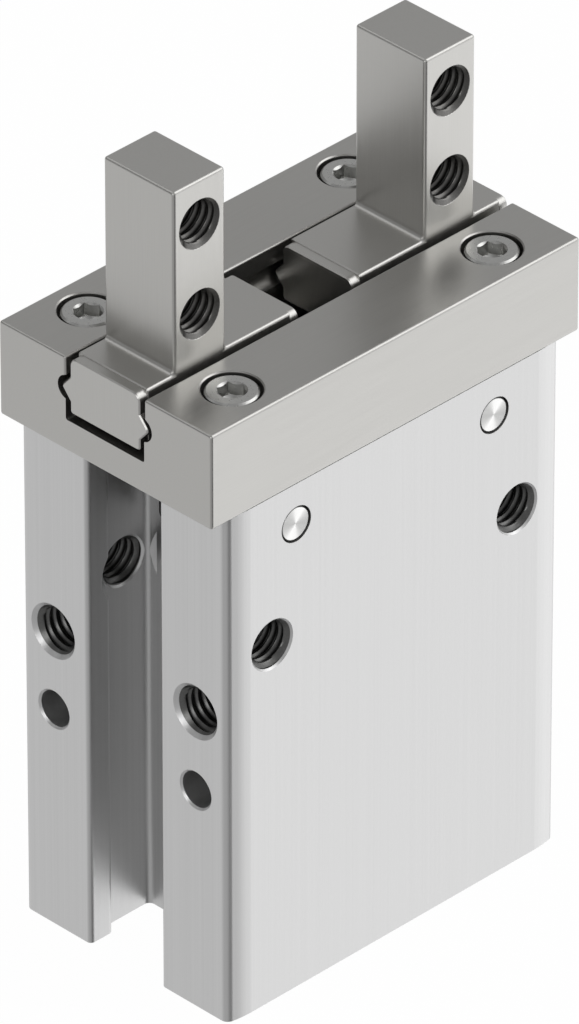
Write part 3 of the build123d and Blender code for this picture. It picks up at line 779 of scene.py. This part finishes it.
def thread_ridge(size, depth, mouth_shape, through):
    """A bmesh of the ridge in a hole that opens at the origin and goes down along -Z."""
    diameter, pitch = size
    bevel, slope, start_angle = mouth_shape
    rim = diameter / 2 + bevel
    highest = pitch / 2
    lowest = -depth - pitch / 2 if through else pitch / 2 - depth
    turns = (highest - lowest) / pitch
    steps = round(turns * thread_steps_per_turn)
    bm = bmesh.new()
    corners = [bm.verts.new((r, 0, lowest + z)) for r, z in thread_section(diameter, pitch)]
    start = bm.faces.new(corners)
    bmesh.ops.spin(
        bm,
        geom=[start, *start.edges, *start.verts],
        cent=(0, 0, 0),
        axis=(0, 0, 1),
        dvec=(0, 0, (highest - lowest) / steps),
        angle=turns * math.tau,
        steps=steps,
        use_merge=False,
    )
    root = diameter / 2 - lining
    for vert in bm.verts:
        radius = Vector(vert.co.xy).length
        height = min(vert.co.z, -cone_sink)
        if through:
            height = max(height, cone_sink - depth)
        from_end = depth + height
        wanted = max(radius, rim + slope * height + cone_sink)
        if through:
            wanted = max(wanted, rim - slope * from_end + cone_sink)
        elif radius < root:
            share = min(1.0, from_end / (thread_fade_turns * pitch))
            wanted = max(wanted, root - (root - radius) * share)
        vert.co.z = height
        vert.co.xy *= wanted / radius
    for face in bm.faces:
        face.smooth = True
    bmesh.ops.recalc_face_normals(bm, faces=bm.faces)
    bmesh.ops.scale(bm, vec=(mm, mm, mm), verts=bm.verts)
    settled = Matrix.Rotation(math.radians(start_angle) - turns * math.tau, 4, "Z")
    bmesh.ops.transform(bm, matrix=settled, verts=bm.verts)
    return bm


def cut_thread(name, mouth, outward, size, depth, mouth_shape, through, body, slot):
    """Puts a thread in a hole, given where the hole opens and which way it opens."""
    bm = thread_ridge(size, depth, mouth_shape, through)
    turn = Vector(outward).to_track_quat("Z", "Y").to_matrix().to_4x4()
    bmesh.ops.transform(bm, matrix=Matrix.Translation(Vector(mouth) * mm) @ turn, verts=bm.verts)
    mesh = bpy.data.meshes.new(name)
    bm.to_mesh(mesh)
    bm.free()
    mesh.set_sharp_from_angle(angle=smooth_below)
    mesh.materials.append(shaded_tapped_finishes[slot])
    thread = bpy.data.objects.new(name, mesh)
    scene.collection.objects.link(thread)
    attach(thread, body)
    return thread


# %% [markdown]
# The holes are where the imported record's mounts are. Fingers and long faces have M4 threads that
# go right through, the end face and the base have blind M4 threads, and the ports are M5. A size is
# a diameter and a pitch. A mouth is the width of its bevel, how much wider than deep the cone is,
# and the angle at which the thread runs out.

# %% Threads in the fingers and the housing
m4 = (4.0, 0.7)
m5 = (5.0, 0.8)
finger_mouth = (0.06, 1.5, 248.0)
long_face_mouth = (0.15, 1.0, 21.0)
wide_mouth = (0.3, 1.0, 300.0)
mounts = {mount["name"]: mount for mount in frame["record"]["mounts"]}


def holes_of(name):
    """The middle of a mount's holes, in millimetres, and half of their spacings."""
    mount = mounts[name]
    middle = Vector(mount["pos_m"]) / mm
    dims = mount["dims"]
    return middle, dims.get("spacing_x_mm", 0) / 2, dims.get("spacing_y_mm", 0) / 2


finger_depth = (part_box("jaw_left")[1].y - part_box("jaw_left")[0].y) / mm
for side in ("left", "right"):
    middle, _, half_pitch = holes_of(side + "_finger_threads")
    for level, height in (("lower", -half_pitch), ("upper", half_pitch)):
        cut_thread(
            f"thread_{side}_finger_{level}",
            middle + Vector((0, 0, height)),
            (0, -1, 0),
            m4,
            finger_depth,
            finger_mouth,
            True,
            side + "_jaw",
            "jaw_steel",
        )

long_face_wall = housing_high.y - channel_half_width
for face, outward in (("front", (0, -1, 0)), ("rear", (0, 1, 0))):
    middle, half_spacing, _ = holes_of(face + "_face_holes")
    for side, x in (("left", -half_spacing), ("right", half_spacing)):
        cut_thread(
            f"thread_{face}_face_{side}",
            middle + Vector((x, 0, 0)),
            outward,
            m4,
            long_face_wall,
            long_face_mouth,
            True,
            "base",
            "anodised_aluminium",
        )

end_face_thread_depth = 7.0
middle, half_spacing, _ = holes_of("end_face_threads")
for side, y in (("front", -half_spacing), ("rear", half_spacing)):
    cut_thread(
        f"thread_end_face_{side}",
        middle + Vector((0, y, 0)),
        (-1, 0, 0),
        m4,
        end_face_thread_depth,
        wide_mouth,
        False,
        "base",
        "anodised_aluminium",
    )

base_thread_depth = 6.0
middle, half_x, half_y = holes_of("base_threads")
for x_side, x in (("left", -half_x), ("right", half_x)):
    for y_side, y in (("front", -half_y), ("rear", half_y)):
        cut_thread(
            f"thread_base_{x_side}_{y_side}",
            middle + Vector((x, y, 0)),
            (0, 0, -1),
            m4,
            base_thread_depth,
            wide_mouth,
            False,
            "base",
            "anodised_aluminium",
        )

port_thread_depth = 4.8
for name in ("opening_port", "closing_port"):
    middle = Vector(mounts[name]["pos_m"]) / mm
    cut_thread(
        "thread_" + name,
        Vector((housing_high.x, middle.y, middle.z)),
        (1, 0, 0),
        m5,
        port_thread_depth,
        wide_mouth,
        False,
        "base",
        "anodised_aluminium",
    )

threads = [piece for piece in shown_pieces() if piece.name.startswith("thread_")]
print(len(threads), "threads,", sum(len(t.data.polygons) for t in threads), "faces")
